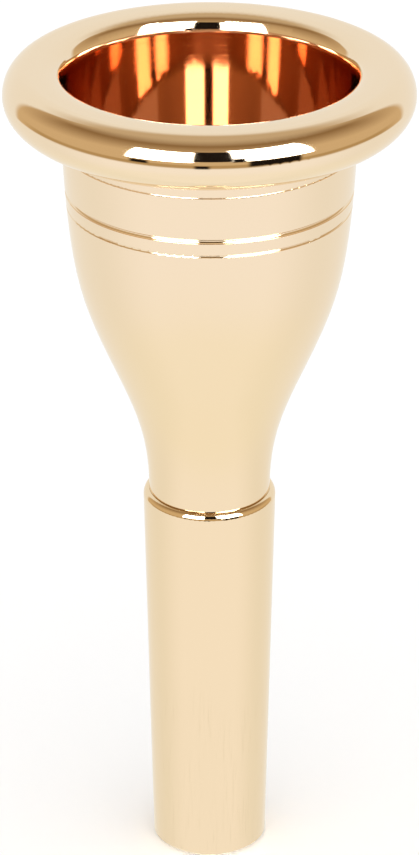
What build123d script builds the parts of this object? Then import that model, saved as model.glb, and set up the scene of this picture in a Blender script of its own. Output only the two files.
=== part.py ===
from build123d import *
import os
from math import cos, radians, sin, tan

os.makedirs("parts", exist_ok=True)

# A three-piece tuba mouthpiece: a rim that screws down over the cup's threaded collar, a cup with a
# threaded tenon, and a tapered shank, with a sealing ring in each screw joint.
# Millimetres; the axis is Z and the shank's open end is z = 0.

# ---- Driving dimensions --------------------------------------------------------------------

# Rim cushion
RIM_RADIUS = 22.5           # outside of the cushion
RIM_TOP = 96.0              # crest, which is also the whole height
RIM_WAIST = 92.9            # height at which the cushion is widest
CREST_RADIUS = 19.85        # where the lips meet the highest point
BITE_RADIUS = 15.85         # where the cushion's inner edge meets the bowl
BITE_HEIGHT = 94.0
BITE_SLOPE = 4.0            # of the bowl's wall there, degrees from vertical
BITE_EDGE = [((16.3, 95.25), 60.0), ((17.2, 95.84), 12.0)]  # outwards from there: point, degrees from level
UNDERSIDE_RADIUS = 17.5     # where the rounded underside turns flat
UNDERSIDE_DROP = 3.76       # from the widest point down to the underside

# Cup, outside: (radius, height) of the bell-shaped wall from the stem up to the short neck
STEM_RADIUS = 6.85
CUP_WALL = [(7.8, 53.0), (10.85, 61.0), (13.95, 69.0), (15.45, 77.0), (16.08, 85.5)]
NECK_RADIUS = 16.1
NECK_FILLET = 0.8           # from the neck out to the rim's underside
GROOVES = [(87.1, 0.1), (82.0, 0.28), (80.25, 0.17)]    # (height, half width) of each decorative groove

# Air way
BOWL_WALL = [(15.5, 89.5), (15.0, 84.5), (14.1, 79.5), (12.3, 73.5), (8.65, 65.5)]
THROAT_RADIUS = 4.15
THROAT_TOP = 51.5
BACKBORE_TOP_RADIUS = 4.3
BACKBORE_END_RADIUS = 5.6

# Shank
SHANK_TOP = 45.25
SHANK_TOP_RADIUS = 7.5
SHANK_END_RADIUS = 6.55
SHANK_END_ROUND = 0.3
SHOULDER_HEIGHT = 0.9       # rounded shoulder at the top of the shank
SHOULDER_WIDTH = 0.6

# Screw joints: both have the same thread form
PITCH = 0.75
THREAD_DEPTH = 0.42
THREAD_CLEARANCE = 0.12     # between one thread's crest and the other's root
CREST_WIDTH = 0.1
FLANK_ANGLE = 30.0
ROOT_OVERLAP = 0.1          # how far a ridge is sunk into the wall that carries it
SEAT_GAP = 0.03             # hairline left where a shoulder meets its seat
FLOOR_GAP = 0.2             # between the end of the tenon and the floor of its socket

# Cup collar in the rim's socket
COLLAR_RADIUS = 17.5        # thread root and plain nose
COLLAR_TOP = 93.4           # where it seats under the cushion, just below the bite
COLLAR_THREAD = (89.95, 91.35)
COLLAR_RING_HEIGHT = 92.5
FLANGE_RADIUS = 18.5        # closes the socket's mouth, flush with the cushion's underside
FLANGE_HEIGHT = 0.4

# Cup tenon in the shank's socket
TENON_RADIUS = 5.4
TENON_END = 35.5
TENON_THREAD = (39.0, 44.0)
TENON_RING_HEIGHT = 36.85

# Sealing rings
RING_SECTION = 0.33         # radius of the squeezed ring's section
RING_CLEARANCE = 0.05       # ring to groove floor
RING_GROOVE_WIDTH = 0.9
RING_GROOVE_DEPTH = 0.65

CUT_MARGIN = 1.0            # how far a cut runs past an open face


# ---- Helpers -------------------------------------------------------------------------------

def turned(outline):
    """Solid of revolution about Z of a closed outline drawn as (radius, height)."""
    return revolve(Plane.XZ * make_face(outline), Axis.Z)


def quarter_ellipse(centre_radius, centre_height, half_width, half_height, start):
    """Quarter of an ellipse, anticlockwise from the start angle in degrees."""
    return EllipticalCenterArc((centre_radius, centre_height), half_width, half_height, start, arc_size=90)


def tube(inner_radius, outer_radius, bottom, top):
    """Plain ring between two radii and two heights."""
    corners = [(inner_radius, bottom), (outer_radius, bottom), (outer_radius, top), (inner_radius, top)]
    return turned(Polyline(*corners, close=True))


def radius_at(wall, height):
    """Radius of an upright wall curve at a height."""
    level = Line((0, height), (RIM_RADIUS, height))
    return wall.intersect(level)[0].X


def helical_ridge(root_radius, crest_radius, start, end):
    """One thread: a trapezoid tooth carried up a right-hand helix between two heights."""
    outward = 1 if crest_radius > root_radius else -1
    flare = tan(radians(FLANK_ANGLE))
    base_radius = root_radius - outward * ROOT_OVERLAP
    half_crest = CREST_WIDTH / 2
    half_base = half_crest + (THREAD_DEPTH + ROOT_OVERLAP) * flare
    tooth = Polyline(
        (base_radius, start - half_base),
        (crest_radius, start - half_crest),
        (crest_radius, start + half_crest),
        (base_radius, start + half_base),
        close=True,
    )
    path = Pos(0, 0, start) * Helix(PITCH, end - start, root_radius)
    return sweep(Plane.XZ * make_face(tooth), path=path, is_frenet=True)


def male_thread(core_radius, span):
    """Ridge to add to a spigot whose thread root is core_radius."""
    return helical_ridge(core_radius, core_radius + THREAD_DEPTH, *span)


def socket_radii(core_radius):
    """Plain bore and thread root of the socket that takes a spigot of core_radius."""
    bore = core_radius + THREAD_CLEARANCE
    return bore, bore + THREAD_DEPTH


def female_thread(core_radius, span):
    """Ridge to add to the socket, half a pitch above the spigot's own ridge."""
    bore, root = socket_radii(core_radius)
    return helical_ridge(root, bore, span[0] + PITCH / 2, span[1])


def socket_space(core_radius, nose_end, thread_end, mouth):
    """What is bored out of a part to make a socket: plain nose bore, then the thread's root bore."""
    bore, root = socket_radii(core_radius)
    return tube(0, bore, *sorted((nose_end, mouth))) + tube(0, root, *sorted((thread_end, mouth)))


def ring_groove(inner_radius, outer_radius, height):
    """Groove for a sealing ring, between two radii."""
    half = RING_GROOVE_WIDTH / 2
    return tube(inner_radius, outer_radius, height - half, height + half)


# ---- Air way -------------------------------------------------------------------------------

def bowl_space():
    """The bowl and the throat, from above the bite down past the tenon's end."""
    slope = radians(BITE_SLOPE)
    wall = Spline(
        (BITE_RADIUS, BITE_HEIGHT), *BOWL_WALL, (THROAT_RADIUS, THROAT_TOP),
        tangents=[(-sin(slope), -cos(slope)), (0, -1)],
    )
    rest = Polyline(
        (THROAT_RADIUS, THROAT_TOP), (THROAT_RADIUS, TENON_END - CUT_MARGIN),
        (0, TENON_END - CUT_MARGIN), (0, BITE_HEIGHT), (BITE_RADIUS, BITE_HEIGHT),
    )
    return turned(wall + rest)


def backbore_space():
    """Cone that opens from the tenon's end to the shank's open end."""
    return turned(Polyline(
        (0, 0), (BACKBORE_END_RADIUS, 0), (BACKBORE_TOP_RADIUS, TENON_END), (0, TENON_END),
        close=True,
    ))


# ---- Pieces --------------------------------------------------------------------------------

RUN_OUT = 0.6 * PITCH       # clear length past the end of each thread
COLLAR_BORE = socket_radii(COLLAR_RADIUS)[0]
COLLAR_GROOVE_FLOOR = COLLAR_BORE + RING_GROOVE_DEPTH
TENON_GROOVE_FLOOR = TENON_RADIUS - RING_GROOVE_DEPTH
RING_INSET = RING_CLEARANCE + RING_SECTION      # from a groove's floor to the ring's centre line
UNDERSIDE = RIM_WAIST - UNDERSIDE_DROP


def rim():
    """Cushion, bored and threaded from below for the cup's collar, with the ring's groove in the bore."""
    points = [(BITE_RADIUS, BITE_HEIGHT), *(point for point, _ in BITE_EDGE), (CREST_RADIUS, RIM_TOP)]
    slopes = [90 - BITE_SLOPE, *(slope for _, slope in BITE_EDGE), 0]
    cushion = Spline(*points, tangents=[(cos(radians(slope)), sin(radians(slope))) for slope in slopes])
    cushion += quarter_ellipse(CREST_RADIUS, RIM_WAIST, RIM_RADIUS - CREST_RADIUS, RIM_TOP - RIM_WAIST, 0)
    cushion += quarter_ellipse(
        UNDERSIDE_RADIUS, RIM_WAIST, RIM_RADIUS - UNDERSIDE_RADIUS, UNDERSIDE_DROP, 270)
    inside = Polyline(
        (UNDERSIDE_RADIUS, UNDERSIDE), (THROAT_RADIUS, UNDERSIDE),
        (THROAT_RADIUS, BITE_HEIGHT), (BITE_RADIUS, BITE_HEIGHT),
    )
    blank = turned(cushion + inside) - bowl_space()
    blank -= socket_space(COLLAR_RADIUS, COLLAR_TOP, COLLAR_THREAD[1] + RUN_OUT, UNDERSIDE)
    blank -= tube(0, FLANGE_RADIUS + SEAT_GAP, UNDERSIDE - CUT_MARGIN, UNDERSIDE + FLANGE_HEIGHT)
    blank -= ring_groove(COLLAR_RADIUS, COLLAR_GROOVE_FLOOR, COLLAR_RING_HEIGHT)
    return blank + female_thread(COLLAR_RADIUS, COLLAR_THREAD)


def cup():
    """Bell-shaped cup with three fine grooves, flange and threaded collar on top, threaded tenon below."""
    neck_top = UNDERSIDE - NECK_FILLET
    flange_top = UNDERSIDE + FLANGE_HEIGHT - SEAT_GAP
    top = COLLAR_TOP - SEAT_GAP
    wall = Spline((STEM_RADIUS, SHANK_TOP), *CUP_WALL, (NECK_RADIUS, neck_top), tangents=[(0, 1), (0, 1)])
    fillet = CenterArc((NECK_RADIUS + NECK_FILLET, neck_top), NECK_FILLET, 180, -90)
    rest = Polyline(
        (NECK_RADIUS + NECK_FILLET, UNDERSIDE), (FLANGE_RADIUS, UNDERSIDE), (FLANGE_RADIUS, flange_top),
        (COLLAR_RADIUS, flange_top), (COLLAR_RADIUS, top), (0, top), (0, TENON_END),
        (TENON_RADIUS, TENON_END), (TENON_RADIUS, SHANK_TOP), (STEM_RADIUS, SHANK_TOP),
    )
    blank = turned(wall + fillet + rest)
    for height, half_width in GROOVES:
        blank -= Pos(0, 0, height) * Torus(radius_at(wall, height), half_width)
    blank -= ring_groove(TENON_GROOVE_FLOOR, TENON_RADIUS + CUT_MARGIN, TENON_RING_HEIGHT)
    blank -= bowl_space()
    return blank + male_thread(COLLAR_RADIUS, COLLAR_THREAD) + male_thread(TENON_RADIUS, TENON_THREAD)


def shank():
    """Tapered shank with its rounded shoulder, socket and backbore."""
    top = SHANK_TOP - SEAT_GAP
    shoulder_start = top - SHOULDER_HEIGHT
    outline = Polyline(
        (0, top), (0, 0), (SHANK_END_RADIUS - SHANK_END_ROUND, 0), (SHANK_END_RADIUS, SHANK_END_ROUND),
        (SHANK_TOP_RADIUS, shoulder_start),
    )
    outline += quarter_ellipse(
        SHANK_TOP_RADIUS - SHOULDER_WIDTH, shoulder_start, SHOULDER_WIDTH, SHOULDER_HEIGHT, 0)
    outline += Line((SHANK_TOP_RADIUS - SHOULDER_WIDTH, top), (0, top))
    blank = turned(outline)
    blank -= socket_space(TENON_RADIUS, TENON_END - FLOOR_GAP, TENON_THREAD[0] - RUN_OUT, top)
    blank -= backbore_space()
    return blank + female_thread(TENON_RADIUS, TENON_THREAD)


def rim_seal():
    """Sealing ring in the rim's bore."""
    return Pos(0, 0, COLLAR_RING_HEIGHT) * Torus(COLLAR_GROOVE_FLOOR - RING_INSET, RING_SECTION)


def stem_seal():
    """Sealing ring on the cup's tenon."""
    return Pos(0, 0, TENON_RING_HEIGHT) * Torus(TENON_GROOVE_FLOOR + RING_INSET, RING_SECTION)


for piece in (rim, rim_seal, cup, stem_seal, shank):
    export_step(piece(), f"parts/{piece.__name__}.step")
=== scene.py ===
from math import radians

import bpy
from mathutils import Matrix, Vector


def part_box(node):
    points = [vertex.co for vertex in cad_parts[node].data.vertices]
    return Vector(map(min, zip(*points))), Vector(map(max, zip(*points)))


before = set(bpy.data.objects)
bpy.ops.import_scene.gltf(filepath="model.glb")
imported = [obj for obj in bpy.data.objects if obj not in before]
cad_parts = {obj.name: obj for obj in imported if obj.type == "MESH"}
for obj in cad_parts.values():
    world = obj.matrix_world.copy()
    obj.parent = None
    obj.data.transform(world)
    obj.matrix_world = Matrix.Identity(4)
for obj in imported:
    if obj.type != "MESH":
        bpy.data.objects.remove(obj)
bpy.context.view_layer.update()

# ---- Sizes and places, in metres ---------------------------------------------------------------

MM = 0.001


def top_of(node):
    """Height of a CAD node's highest point."""
    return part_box(node)[1].z


BITE_DEPTH = 2.0 * MM                     # the bite lies this far below the rim's crest
BITE_HEIGHT = top_of("rim") - BITE_DEPTH

# The camera stands in front of the object and above it
CAMERA_DISTANCE = 406.4 * MM              # from the axis, along the floor
CAMERA_HEIGHT = 248.9 * MM
CAMERA_PITCH = 25.79                      # degrees below the horizon
CAMERA_NEAR = 10 * MM
CAMERA_FAR = 20.0
FILM_HEIGHT = 36.0                        # millimetres, as Blender wants it
FOCAL_LENGTH = 168.4

# The bowl's bright strips are seen after three and four reflections from wall to wall
GLOSSY_BOUNCES = 12
ALL_BOUNCES = 16


# ---- Node helpers ------------------------------------------------------------------------------

class Graph:
    """Short calls for building a node tree."""

    def __init__(self, tree):
        self.tree = tree
        tree.nodes.clear()

    def node(self, kind, **settings):
        made = self.tree.nodes.new(kind)
        for key, value in settings.items():
            setattr(made, key, value)
        return made

    def join(self, source, target):
        self.tree.links.new(source, target)

    def feed(self, socket, value):
        """Links value if it is a socket, and sets it if it is a number or a colour."""
        if isinstance(value, bpy.types.NodeSocket):
            self.join(value, socket)
        else:
            socket.default_value = value

    def math(self, operation, first, second=0.0, third=0.0):
        made = self.node("ShaderNodeMath", operation=operation)
        for socket, value in zip(made.inputs, (first, second, third)):
            self.feed(socket, value)
        return made.outputs[0]

    def times(self, *factors):
        product = factors[0]
        for factor in factors[1:]:
            product = self.math("MULTIPLY", product, factor)
        return product

    def times_plus(self, first, second, extra):
        return self.math("MULTIPLY_ADD", first, second, extra)

    def degrees(self, angle):
        return self.math("DEGREES", angle)

    def step(self, value, low, high, interpolation="SMOOTHSTEP"):
        """0 at low, 1 at high and smooth between, whichever of the two is the greater."""
        made = self.node("ShaderNodeMapRange", interpolation_type=interpolation)
        self.feed(made.inputs["Value"], value)
        if low <= high:
            ends = (low, high, 0.0, 1.0)
        else:
            ends = (high, low, 1.0, 0.0)
        for name, end in zip(("From Min", "From Max", "To Min", "To Max"), ends):
            made.inputs[name].default_value = end
        return made.outputs["Result"]

    def ramp(self, value, low, high):
        """The same in a straight line."""
        return self.step(value, low, high, "LINEAR")

    def window(self, value, low, high, soft):
        """1 between low and high, 0 outside, with soft edges."""
        rise = self.step(value, low - soft, low + soft)
        return self.times(rise, self.step(value, high + soft, high - soft))

    def blend(self, factor, first, second):
        """From the first colour at factor 0 to the second at 1."""
        made = self.node("ShaderNodeMix", data_type="RGBA")
        # the node has sockets for every data type: 6 and 7 are its colours, and 2 is their mix
        self.feed(made.inputs[0], factor)
        self.feed(made.inputs[6], first)
        self.feed(made.inputs[7], second)
        return made.outputs[2]

    def noise(self, vector, size, detail, roughness=0.5):
        """Smooth noise from 0 to 1, in patches of about that size."""
        made = self.node("ShaderNodeTexNoise")
        self.join(vector, made.inputs["Vector"])
        made.inputs["Scale"].default_value = 1 / size
        made.inputs["Detail"].default_value = detail
        made.inputs["Roughness"].default_value = roughness
        return made.outputs["Fac"]

    def split(self, vector):
        """The x, y and z of a vector."""
        made = self.node("ShaderNodeSeparateXYZ")
        self.join(vector, made.inputs[0])
        return made.outputs

    def point(self, x, y, z):
        made = self.node("ShaderNodeCombineXYZ")
        for socket, value in zip(made.inputs, (x, y, z)):
            self.feed(socket, value)
        return made.outputs[0]


def colour(red, green, blue):
    return (red, green, blue, 1.0)


def new_material(name):
    """A material, its empty graph and a shader that is joined to its output."""
    material = bpy.data.materials.new(name)
    material.use_nodes = True
    g = Graph(material.node_tree)
    shader = g.node("ShaderNodeBsdfPrincipled")
    g.join(shader.outputs[0], g.node("ShaderNodeOutputMaterial").inputs["Surface"])
    return material, g, shader


# ---- Studio ------------------------------------------------------------------------------------
# Mirror rays see a painted studio, by their direction: the bearing is in degrees to the right of the
# camera's side, the side is the bearing without its sign, and the height is in degrees above level.
# Where a pair of them is marked as a side or a height, a change starts at the first and is complete
# at the second.

FILL = colour(1.12, 1.12, 1.12)           # the plain white light that all other rays see

# White table, which rises behind the object as a sweep
SWEEP_FRONT = colour(1.03, 1.01, 1.00)
SWEEP_BACK = colour(0.93, 0.91, 0.86)
SWEEP_LOW = colour(1.00, 0.97, 0.82)
LOW_SHARE = 0.5                           # of SWEEP_LOW, close to the object's foot
FRONT_TO_BACK = (45.0, 110.0)             # side
LEVEL_TO_LOW = (-30.0, -60.0)             # height
TABLE_TO_ROOM = (-15.0, -12.0)            # height
SWEEP_TO_ROOM = (132.0, 125.0)            # side
SWEEP_TOP_TO_ROOM = (34.0, 62.0)          # height

# Tan room, with a dark line in the corner of wall and ceiling. The corner is found by its lift, the
# upward part of a ray's direction and a share of its backward part: that tips the line, which is
# level at the sides, up in front and down behind.
WALL = colour(0.68, 0.50, 0.29)
WALL_FOOT = colour(0.50, 0.34, 0.16)
CORNER = colour(0.28, 0.165, 0.07)
CEILING = colour(0.60, 0.47, 0.31)
BACKWARD_SHARE = 0.3
WALL_LIFT = 0.22
CORNER_LIFT = 0.77
CEILING_LIFT = 1.03
CORNER_FADES = (100.0, 135.0)             # side
CORNER_FADE = 0.75
FOOT_HEIGHTS = (-14.0, -6.0)              # lowest and highest
FOOT_SOFTNESS = 2.0
FOOT_ENDS = (125.0, 100.0)                # side

# Left and right bearing, bottom and top height
SOFT_BOXES = [(-45.0, -9.0, 4.0, 38.0), (12.0, 57.0, 6.0, 45.0)]
DARK_SHAPES = [                           # the camera, and what stands about it
    (-9.0, 13.0, 6.0, 41.0),
    (12.0, 20.0, 3.0, 16.0),
    (21.0, 50.0, -12.0, 4.0),
    (-43.0, -33.0, -9.0, 0.0),
    (-8.0, 0.0, -14.0, -8.0),
]
LAMP = colour(13.0, 13.0, 13.0)
DARK = colour(0.012, 0.008, 0.006)
SHAPE_SOFTNESS = 1.5

FLOOR_REACH = 2.0                         # metres each way from the axis
FLOOR_WHITE = colour(0.93, 0.93, 0.93)
FLOOR_ROUGHNESS = 0.9


def sweep_paint(g, side, height):
    level = g.blend(g.step(side, *FRONT_TO_BACK), SWEEP_FRONT, SWEEP_BACK)
    low = g.blend(LOW_SHARE, level, SWEEP_LOW)
    return g.blend(g.step(height, *LEVEL_TO_LOW), level, low)


def room_paint(g, side, height, lift):
    corner = g.blend(g.times(g.step(side, *CORNER_FADES), CORNER_FADE), CORNER, WALL)
    paint = g.blend(g.ramp(lift, CORNER_LIFT, WALL_LIFT), corner, WALL)
    paint = g.blend(g.ramp(lift, CORNER_LIFT, CEILING_LIFT), paint, CEILING)
    foot = g.times(g.window(height, *FOOT_HEIGHTS, FOOT_SOFTNESS), g.step(side, *FOOT_ENDS))
    return g.blend(foot, paint, WALL_FOOT)


def studio_world():
    world = bpy.data.worlds.new("studio")
    world.use_nodes = True
    g = Graph(world.node_tree)
    x, y, z = g.split(g.node("ShaderNodeTexCoord").outputs["Generated"])
    bearing = g.degrees(g.math("ARCTAN2", x, g.times(y, -1.0)))
    height = g.degrees(g.math("ARCSINE", z))
    side = g.math("ABSOLUTE", bearing)

    above_table = g.times(g.step(height, *TABLE_TO_ROOM), g.step(side, *SWEEP_TO_ROOM))
    in_room = g.math("MAXIMUM", above_table, g.step(height, *SWEEP_TOP_TO_ROOM))
    room = room_paint(g, side, height, g.times_plus(y, BACKWARD_SHARE, z))
    paint = g.blend(in_room, sweep_paint(g, side, height), room)
    for tone, shapes in ((LAMP, SOFT_BOXES), (DARK, DARK_SHAPES)):
        for left, right, bottom, top in shapes:
            across = g.window(bearing, left, right, SHAPE_SOFTNESS)
            shape = g.times(across, g.window(height, bottom, top, SHAPE_SOFTNESS))
            paint = g.blend(shape, paint, tone)

    mirrored = g.node("ShaderNodeLightPath").outputs["Is Glossy Ray"]
    background = g.node("ShaderNodeBackground")
    g.join(g.blend(mirrored, FILL, paint), background.inputs["Color"])
    g.join(background.outputs[0], g.node("ShaderNodeOutputWorld").inputs["Surface"])
    bpy.context.scene.world = world


def floor():
    """Pale floor, which mirror rays pass through to the painted table."""
    mesh = bpy.data.meshes.new("floor")
    corners = [(-1, -1), (1, -1), (1, 1), (-1, 1)]
    points = [(x * FLOOR_REACH, y * FLOOR_REACH, 0) for x, y in corners]
    mesh.from_pydata(points, [], [(0, 1, 2, 3)])
    made = bpy.data.objects.new("floor", mesh)
    bpy.context.scene.collection.objects.link(made)
    made.visible_glossy = False
    material, _, shader = new_material("floor_paint")
    shader.inputs["Base Color"].default_value = FLOOR_WHITE
    shader.inputs["Roughness"].default_value = FLOOR_ROUGHNESS
    shader.inputs["Specular IOR Level"].default_value = 0.0
    mesh.materials.append(material)


def camera():
    data = bpy.data.cameras.new("camera")
    data.sensor_fit = "VERTICAL"
    data.sensor_height = FILM_HEIGHT
    data.lens = FOCAL_LENGTH
    data.clip_start = CAMERA_NEAR
    data.clip_end = CAMERA_FAR
    made = bpy.data.objects.new("camera", data)
    made.location = (0.0, -CAMERA_DISTANCE, CAMERA_HEIGHT)
    made.rotation_euler = (radians(90.0 - CAMERA_PITCH), 0.0, 0.0)
    bpy.context.scene.collection.objects.link(made)
    bpy.context.scene.camera = made


# ---- Materials ---------------------------------------------------------------------------------

# Outside: painted reflection makes it paler towards the rim, with slow changes in the plating
SHEEN_PALE_GOLD = colour(0.90, 0.745, 0.55)
WARM_GOLD = colour(0.89, 0.725, 0.50)
WARM_TO_PALE = (50 * MM, 95 * MM)         # height
PLATING_SIZE = 11 * MM
PLATING_SHIFT = 20 * MM                   # how far the plating's changes move that height

# Bowl: painted shade, a deeper gold on faces that look to the axis, from just above the bite down
BOWL_SHADE_GOLD = colour(0.77, 0.495, 0.345)
BOWL_SHADE_RED_GOLD = colour(0.75, 0.48, 0.33)
BOWL_TOP = BITE_HEIGHT + 0.5 * MM
BOWL_EDGE = 0.05 * MM                     # half the height over which it starts
FACING_EDGE = 0.02                        # half the change in the facing over which it starts
AXIS_GUARD = 0.1 * MM                     # keeps the division by the radius safe on the axis

# Lathe: faint rings on every polished face, and stronger lines in the bowl near the bite
RING_SIZE = 0.12 * MM
RING_TINTS = (0.3, 0.7)                   # the part of the noise that goes from one gold to the other
RING_STRENGTH = 0.008
LINE_STRENGTH = 0.5
LINES_START = (BITE_HEIGHT - 4.6 * MM, BITE_HEIGHT - 3.4 * MM)
MARK_DEPTH = 0.01 * MM

# Shank: scratched and dulled as far as a tuba's receiver takes it in
RUBBED_GOLD = colour(0.80, 0.62, 0.40)
RUBBED_BELOW = 26 * MM
RUBBED_EDGE = 8 * MM
RUBBED_SHARE = 0.5
SCRATCH_SIZE = 0.25 * MM                  # across
SCRATCH_STRETCH = 25                      # how many times longer they are along the axis
SCRATCHED = (0.55, 0.75)                  # the part of the noise that shows as scratches

POLISH = 0.03                             # roughness where the plating is best
PLATING_DULLNESS = 0.04
RUBBED_DULLNESS = 0.12

BLACK_RUBBER = colour(0.018, 0.018, 0.018)
GREY_RUBBER = colour(0.035, 0.034, 0.033)
RUBBER_ROUGHNESS = 0.45
GRAIN_SIZE = MM / 6
GRAIN_ROUGHNESS = 0.2


def turned_normal(g, x, y, radius, outward, upward):
    """The surface's normal in world space, turned to lie exactly in the plane through the axis.

    The mesh's facets would bend reflections that cross the bowl several times."""
    exact_x = g.math("DIVIDE", g.times(x, outward), radius)
    exact_y = g.math("DIVIDE", g.times(y, outward), radius)
    in_world = g.node("ShaderNodeVectorTransform", vector_type="NORMAL")
    in_world.convert_from = "OBJECT"
    in_world.convert_to = "WORLD"
    g.join(g.point(exact_x, exact_y, upward), in_world.inputs[0])
    return in_world.outputs[0]


def gold(name, bowl_top, rubbed_below=0.0):
    """Polished gold plate: painted shade in a deeper gold where it faces the axis below bowl_top, and
    rubbed below rubbed_below.
    """
    material, g, shader = new_material(name)
    places = g.node("ShaderNodeTexCoord")
    place = places.outputs["Object"]
    x, y, z = g.split(place)
    normal_x, normal_y, normal_z = g.split(places.outputs["Normal"])
    radius = g.math("SQRT", g.math("ADD", g.times(x, x), g.times(y, y)))
    outward = g.math("ADD", g.times(x, normal_x), g.times(y, normal_y))
    outward = g.math("DIVIDE", outward, g.math("MAXIMUM", radius, AXIS_GUARD))
    below = g.step(z, bowl_top + BOWL_EDGE, bowl_top - BOWL_EDGE)
    inside = g.times(g.step(outward, FACING_EDGE, -FACING_EDGE), below)
    rubbed = g.step(z, rubbed_below, rubbed_below - RUBBED_EDGE)

    rings = g.noise(g.point(radius, 0.0, z), RING_SIZE, detail=3.0)
    stretched = g.node("ShaderNodeVectorMath", operation="MULTIPLY")
    g.join(place, stretched.inputs[0])
    stretched.inputs[1].default_value = (1.0, 1.0, 1 / SCRATCH_STRETCH)
    scratches = g.noise(stretched.outputs[0], SCRATCH_SIZE, detail=4.0, roughness=0.7)
    plating = g.noise(place, PLATING_SIZE, detail=3.0)

    # Painted reflection: paler towards the rim, the height moved by the plating's slow changes
    painted_paleness = g.step(g.times_plus(plating, PLATING_SHIFT, z), *WARM_TO_PALE)
    outer_tint = g.blend(painted_paleness, WARM_GOLD, SHEEN_PALE_GOLD)
    scratched = g.times(rubbed, g.step(scratches, *SCRATCHED), RUBBED_SHARE)
    outer_tint = g.blend(scratched, outer_tint, RUBBED_GOLD)
    # Painted shade: the bowl's deeper gold, changing with the lathe rings
    bowl_painted_shade = g.blend(g.step(rings, *RING_TINTS), BOWL_SHADE_GOLD, BOWL_SHADE_RED_GOLD)
    g.join(g.blend(inside, outer_tint, bowl_painted_shade), shader.inputs["Base Color"])
    shader.inputs["Metallic"].default_value = 1.0
    dullness = g.times_plus(plating, PLATING_DULLNESS, POLISH)
    dullness = g.times_plus(g.times(rubbed, scratches), RUBBED_DULLNESS, dullness)
    g.join(dullness, shader.inputs["Roughness"])

    lines = g.times(inside, g.step(z, *LINES_START))
    bump = g.node("ShaderNodeBump")
    bump.inputs["Distance"].default_value = MARK_DEPTH
    g.join(turned_normal(g, x, y, radius, outward, normal_z), bump.inputs["Normal"])
    strength = g.times_plus(lines, LINE_STRENGTH - RING_STRENGTH, RING_STRENGTH)
    g.join(strength, bump.inputs["Strength"])
    g.join(rings, bump.inputs["Height"])
    g.join(bump.outputs[0], shader.inputs["Normal"])
    return material


def rubber():
    """Matt black rubber with a fine grain, for the sealing rings."""
    material, g, shader = new_material("seal_rubber")
    grain = g.noise(g.node("ShaderNodeTexCoord").outputs["Object"], GRAIN_SIZE, detail=4.0)
    g.join(g.blend(grain, BLACK_RUBBER, GREY_RUBBER), shader.inputs["Base Color"])
    g.join(g.times_plus(grain, GRAIN_ROUGHNESS, RUBBER_ROUGHNESS), shader.inputs["Roughness"])
    return material


def dress(node, material):
    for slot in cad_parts[node].material_slots:
        slot.material = material


dress("rim", gold("rim_gold", BOWL_TOP))
dress("cup", gold("cup_gold", top_of("cup")))
dress("shank", gold("shank_gold", top_of("shank"), RUBBED_BELOW))
seal = rubber()
dress("rim_seal", seal)
dress("stem_seal", seal)

studio_world()
floor()
camera()

scene = bpy.context.scene
scene.view_settings.view_transform = "Standard"
scene.cycles.max_bounces = ALL_BOUNCES
scene.cycles.glossy_bounces = GLOSSY_BOUNCES
